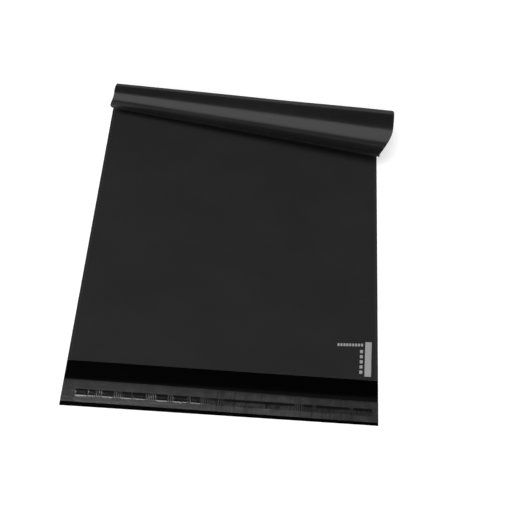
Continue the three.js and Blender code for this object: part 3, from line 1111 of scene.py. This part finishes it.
@dataclass
class ClosureStrip:
    """The hot-melt and the release liner on the lip, with the same widths as in the CAD."""

    bag: BagSize
    effects: Effects
    glue_width: float = 0.007
    liner_width: float = 0.0175
    liner_film: float = 0.00005
    lip_border: float = 0.0028
    clearance: float = 0.000001  # between the film and the hot-melt
    glue_film: float = 0.000005  # least thickness of the hot-melt
    liner_clearance: float = 0.00001  # between the film and the liner
    tent: float = 0.00010  # height of the liner where it leaves the hot-melt's foot
    bare_tent: float = 0.35  # share of that height where there is no hot-melt
    left_tent: float = 0.65  # share of it at the left end
    left_tent_rise: Pair = (-0.115, -0.085)
    free: float = 0.000014  # height of the liner's long soft waves
    slanted: float = 0.000008  # height of the short slanted ones
    slanted_rise: Pair = (-0.0025, -0.006)  # from the centre line
    slant: float = 0.8  # how far they lean along the strip, for each length across it
    askew: float = 0.0016  # how much lower the liner's upper edge runs at the right end
    askew_rise: Pair = (-0.09, 0.11)
    # Shares of the liner's full haze, two of them painted reflection, each with the two places between which
    # it changes
    edge_haze: float = 0.45  # along the upper edge
    edge_rise: Pair = (0.0002, -0.0022)  # from the upper edge
    right_haze: float = 0.82  # at the right end
    right_rise: Pair = (0.090, 0.050)
    left_haze: float = 0.80  # at the left end
    left_rise: Pair = (-0.121, -0.108)
    below_sheen: Pair = (0.1, 0.42)  # painted reflection added below the hot-melt, at the right end and elsewhere
    below_rise: Pair = (-0.0037, -0.0047)  # from the centre line
    below_start: Pair = (-0.128, -0.084)
    above_sheen: float = 0.22  # painted reflection added just above the hot-melt
    above_rise: Pair = (0.0065, 0.0015)  # from the centre line
    clouds: Pair = (0.24, 0.12)  # where the line is thin, and where it is full
    streaks: Pair = (0.22, 0.04)
    columns: int = 860
    # The liner's rows are close together between these distances from the centre line
    dense_from: float = -0.0052
    dense_to: float = 0.0022

    def __post_init__(self) -> None:
        """Finds the centre line and the rows of points, and draws the liner's unevenness."""
        half = self.liner_width / 2
        self.centre = -self.bag.lip + self.lip_border + half
        below = np.linspace(-half, self.dense_from, 6)[:-1]
        dense = np.linspace(self.dense_from, self.dense_to, 30)
        self.liner_rows = np.concatenate([below, dense, np.linspace(self.dense_to, half, 9)[1:]])
        self.glue_rows = np.linspace(-self.glue_width / 2, self.glue_width / 2, 29)
        self.glue = GlueLine(centre=self.centre)
        self.long_swell = Swell(seed=31, shortest=0.0035, longest=0.009, stretch=9.0)
        self.slant_swell = Swell(seed=37, shortest=0.002, longest=0.006, stretch=2.5)
        self.cloud_swell = Swell(seed=41, shortest=0.005, longest=0.022, stretch=1.3)
        self.streak_swell = Swell(seed=43, shortest=0.0025, longest=0.010)

    def upper_edge(self, x: np.ndarray) -> np.ndarray:
        """Distance of the liner's upper edge from the centre line, which is a little less at the right."""
        return self.liner_width / 2 - self.askew * smooth_step(x, *self.askew_rise)

    def strip(self, name: str, rows: np.ndarray, heights: Heights, finish: bpy.types.Material) -> Piece:
        """Makes a closed strip across the whole bag. Its rows above the dense ones end at the upper edge.

        Args:
            name: name of the piece.
            rows: distance of each row of points from the centre line.
            heights: gives the lower and the upper height over the surface, for x and y.
            finish: the material.

        Returns:
            The piece.
        """
        shell = Shell()
        across = np.linspace(-self.bag.half_width, self.bag.half_width, self.columns + 1)
        x, row = np.meshgrid(across, rows)
        dense = self.dense_to
        squeeze = (self.upper_edge(x) - dense) / (self.liner_width / 2 - dense)
        y = self.centre + np.minimum(row, dense) + np.clip(row - dense, 0, None) * squeeze
        skewed = y + self.bag.skew_at(x)
        layers = [np.stack([x, skewed, height], axis=-1) + self.bag.origin for height in heights(x, y)]
        under, over = (shell.add(layer, x, y) for layer in layers)
        shell.surface(over, 0, cell=0)
        shell.surface(under, 0, cell=1, turned=True)
        shell.surface(np.stack([under[0], over[0]]), 0, cell=0)
        shell.surface(np.stack([over[-1], under[-1]]), 0, cell=0)
        shell.surface(np.stack([under[:, 0], over[:, 0]]), 0, cell=0, turned=True)
        shell.surface(np.stack([under[:, -1], over[:, -1]]), 0, cell=0)
        return shell.build(name, [finish])

    def glue_heights(self, x: np.ndarray, y: np.ndarray) -> LowerUpper:
        """Lower and upper height of the hot-melt."""
        under = np.full_like(x, self.bag.film + self.clearance)
        return under, under + self.glue_film + self.glue.top(x, y)

    def liner_heights(self, x: np.ndarray, y: np.ndarray) -> LowerUpper:
        """Lower and upper height of the liner.

        It is draped over the hot-melt. Its lower part slopes down to the lip's edge, and it has long soft
        waves along the strip, with short slanted ones over the lower part.
        """
        across = y - self.centre
        half = self.liner_width / 2
        free = self.free * (1 + self.long_swell.at(x, y))
        lower = smooth_step(across, *self.slanted_rise)
        slanted = self.slanted * lower * (1 + self.slant_swell.at(x + self.slant * y, y))
        slope = self.tent * blend(self.bare_tent, 1.0, self.glue.fullness(x))
        slope = slope * blend(self.left_tent, 1.0, smooth_step(x, *self.left_tent_rise))
        slope = slope * np.minimum((across + half) / (half + self.glue.foot), 1)
        slope = slope * smooth_step(across, half, 0.0)
        drape = np.maximum(self.glue.drape(x, y), slope)
        under = self.bag.film + self.liner_clearance + drape + np.clip(free + slanted, 0, None)
        return under, under + self.liner_film

    def haze_and_sheen_share(self, x: np.ndarray, y: np.ndarray) -> np.ndarray:
        """How hazy the liner looks, with painted reflection in it.

        It is less along its upper edge and at its left end. Below and just above the hot-melt it is more,
        which is painted reflection on the liner's slopes, less of it at the right end. The right end is
        darker and more uneven, with clouds and with streaks across the strip.
        """
        across = y - self.centre
        edge = smooth_step(across, *(self.upper_edge(x) + past for past in self.edge_rise))
        full = smooth_step(x, self.glue.thin_to, self.glue.thin_from)
        bright = smooth_step(x, *self.right_rise)
        start = smooth_step(x, *self.left_rise)
        # Painted reflection: lighter below the hot-melt, less so at the right end, and just above it away
        # from the right end
        below = smooth_step(across, *self.below_rise) * blend(*self.below_sheen, bright)
        below = below * smooth_step(x, *self.below_start)
        above = smooth_step(across, *self.above_rise) * self.above_sheen * bright
        cloud = 1 + blend(*self.clouds, full) * self.cloud_swell.at(x, y)
        cloud = cloud + blend(*self.streaks, full) * self.streak_swell.at(x, 0.12 * y)
        shares = blend(self.edge_haze, 1.0, edge) * blend(self.right_haze, 1.0, bright)
        return shares * blend(self.left_haze, 1.0, start) * (1 + below + above) * cloud

    def mark_liner(self, liner: Piece) -> None:
        """Writes how wet the liner is at each of its points, and how hazy, with its painted reflection."""
        mesh = liner.data
        places = np.empty(len(mesh.vertices) * 3, np.float32)
        mesh.attributes[PLACE].data.foreach_get("vector", places)
        x, y, _ = places.reshape(-1, 3).T.astype(float)
        for name, values in ((WET, self.glue.wet(x, y)), (HAZE_AND_SHEEN, self.haze_and_sheen_share(x, y))):
            mesh.attributes.new(name, "FLOAT", "POINT").data.foreach_set("value", values.astype(np.float32))

    def build(self) -> list[Piece]:
        """Makes the hot-melt and the liner, dresses them and hands them to the frame."""
        hot_melt = self.strip("hot_melt_strip", self.glue_rows, self.glue_heights, GlueFinish().material())
        hand_over(hot_melt, "adhesive_strip")
        finish = LinerFinish().material(self.effects)
        liner = self.strip("liner_strip", self.liner_rows, self.liner_heights, finish)
        self.mark_liner(liner)
        hand_over(liner, "release_liner")
        return [hot_melt, liner]


@dataclass(frozen=True)
class Viewpoint:
    """The photograph's camera: where it stands from the flat place (0, 0), its turns and its focal length."""

    place: tuple[float, float, float] = (0.03840, -0.08680, 0.4812)
    down: float = math.radians(69.0)
    turned: float = math.radians(3.88)  # counterclockwise from +Y
    tilted: float = math.radians(-0.22)  # about the line of sight
    focal_pixels: float = 591.3
    frame_pixels: int = 522

    def build(self, bag: BagSize) -> Piece:
        """Makes the camera. It looks along (-sin turned cos down, cos turned cos down, -sin down).

        Args:
            bag: sizes of the bag, which say where the flat place (0, 0) is.

        Returns:
            The camera, which is the scene's own.
        """
        level = Vector((math.cos(self.turned), math.sin(self.turned), 0.0))
        ahead = Vector((-math.sin(self.turned), math.cos(self.turned), 0.0))
        forward = ahead * math.cos(self.down) - Vector((0.0, 0.0, math.sin(self.down)))
        above = level.cross(forward)
        right = level * math.cos(self.tilted) + above * math.sin(self.tilted)
        up = above * math.cos(self.tilted) - level * math.sin(self.tilted)
        data = bpy.data.cameras.new("camera")
        data.sensor_width = 36.0
        data.lens = data.sensor_width * self.focal_pixels / self.frame_pixels
        data.clip_start = 0.01
        data.clip_end = 50.0
        camera = link_new("camera", data)
        turn = Matrix((right, up, -forward)).transposed().to_4x4()
        camera.matrix_world = Matrix.Translation(Vector(self.place) + Vector(bag.origin)) @ turn
        bpy.context.scene.camera = camera
        return camera


@dataclass(frozen=True)
class Softbox:
    """A large, even rectangle of light, with its middle, the point it aims at, its size and brightness."""

    name: str
    middle: tuple[float, float, float]
    aims_at: tuple[float, float, float]
    wide: float
    tall: float
    radiance: float
    matte: bool = True  # lights matte surfaces
    gloss: bool = True  # shows in glossy surfaces

    def build(self) -> Piece:
        """Makes the lamp. Its power in watts is radiance x pi x area."""
        data = bpy.data.lights.new(self.name, "AREA")
        data.shape = "RECTANGLE"
        data.size = self.wide
        data.size_y = self.tall
        data.energy = self.radiance * math.pi * self.wide * self.tall
        away = (Vector(self.middle) - Vector(self.aims_at)).normalized()
        level = Vector((0.0, 0.0, 1.0)).cross(away).normalized()
        lamp = link_new(self.name, data)
        turn = Matrix((level, away.cross(level), away)).transposed().to_4x4()
        lamp.matrix_world = Matrix.Translation(self.middle) @ turn
        lamp.visible_camera = False
        lamp.visible_diffuse = self.matte
        lamp.visible_glossy = self.gloss
        return lamp


# The first shows in glossy surfaces, and the other two light matte ones.
SOFTBOXES = (
    Softbox("front_softbox", (-1.45, -1.47, 2.35), (-0.75, 0.38, 0.0), 3.9, 3.7, radiance=3.45, matte=False),
    Softbox("overhead_softbox", (-0.77, -1.91, 8.0), (0.0, 0.0, 0.0), 4.9, 2.8, radiance=11.5, gloss=False),
    Softbox("front_fill", (-2.1, -5.4, 3.5), (0.0, 0.0, 0.0), 3.8, 2.8, radiance=2.6, gloss=False),
)


@dataclass
class Studio:
    """A pale floor, a dim room that is bright at the horizon, and three softboxes."""

    floor_radius: float = 4.5
    floor_rings: int = 24
    floor_sides: int = 96
    floor_drop: float = 0.00004
    floor_colour: float = 0.8
    floor_roughness: float = 0.9
    floor_glow: float = 0.40  # lifts the floor to white for the eye and in reflections
    room: float = 0.12
    horizon: float = 1.0
    horizon_from: float = math.radians(5)  # elevations between which the room turns pale
    horizon_to: float = math.radians(-1)

    def build_floor(self) -> Piece:
        """Makes the floor, a disc of rings whose radii grow as the square of their number."""
        radius = self.floor_radius * np.linspace(0, 1, self.floor_rings + 1)[1:, None] ** 2
        angle = np.linspace(0, math.tau, self.floor_sides + 1)[:-1]
        low = 0 * radius * angle - self.floor_drop
        points = np.stack([radius * np.cos(angle), radius * np.sin(angle), low], axis=-1)
        numbers = np.arange(low.size).reshape(low.shape) + 1
        numbers = np.concatenate([numbers, numbers[:, :1]], axis=1)
        quads = np.stack([numbers[:-1, :-1], numbers[1:, :-1], numbers[1:, 1:], numbers[:-1, 1:]], axis=-1)
        fan = [(0, int(a), int(b)) for a, b in zip(numbers[0, :-1], numbers[0, 1:])]
        mesh = bpy.data.meshes.new("floor")
        middle = (0.0, 0.0, -self.floor_drop)
        mesh.from_pydata([middle, *points.reshape(-1, 3).tolist()], [], fan + quads.reshape(-1, 4).tolist())
        mesh.materials.append(self.floor_material())
        floor = link_new("floor", mesh)
        return floor

    def floor_material(self) -> bpy.types.Material:
        """Matte and pale, with a glow for camera, glossy and transmission rays that leaves the shadow."""
        material, sketch, shader = new_material("pale_floor")
        shader["Base Color"].default_value = grey(self.floor_colour)
        shader["Roughness"].default_value = self.floor_roughness
        shader["Specular IOR Level"].default_value = 0.0
        shader["Emission Color"].default_value = grey(1.0)
        rays = sketch.add("ShaderNodeLightPath").outputs
        seen = sketch.math("MAXIMUM", rays["Is Camera Ray"], rays["Is Glossy Ray"])
        seen = sketch.math("MAXIMUM", seen, rays["Is Transmission Ray"])
        sketch.feed(shader["Emission Strength"], sketch.times(seen, self.floor_glow))
        return material

    def build_room(self) -> None:
        """Lights the room: pale up to a few degrees above the horizon, and dim above that."""
        world = bpy.data.worlds.new("room")
        world.use_nodes = True
        bpy.context.scene.world = world
        sketch = Sketch(world.node_tree)
        background = world.node_tree.nodes["Background"].inputs
        rise = sketch.split(sketch.add("ShaderNodeTexCoord").outputs["Generated"])[2]
        pale = sketch.ramp(rise, math.sin(self.horizon_from), math.sin(self.horizon_to))
        sketch.feed(background["Color"], sketch.mix(pale, grey(self.room), grey(self.horizon)))
        background["Strength"].default_value = 1.0

    def build(self) -> None:
        """Makes the floor, the room and the softboxes."""
        self.build_floor()
        self.build_room()
        for softbox in SOFTBOXES:
            softbox.build()


def main() -> None:
    """Builds the studio and the bag, and reports each piece."""
    logging.basicConfig(level=logging.INFO, format="%(message)s")
    bpy.context.scene.view_settings.view_transform = "Standard"
    bag = BagSize()
    effects = Effects()
    Viewpoint().build(bag)
    Studio().build()
    pieces = [FilmBag(bag, Curl(bag, CurlSize()), effects).build()]
    pieces += ClosureStrip(bag, effects).build()
    for piece in pieces:
        log.info("%s: %d faces, rides on root", piece.name, len(piece.data.polygons))


if __name__ == "__main__":
    main()
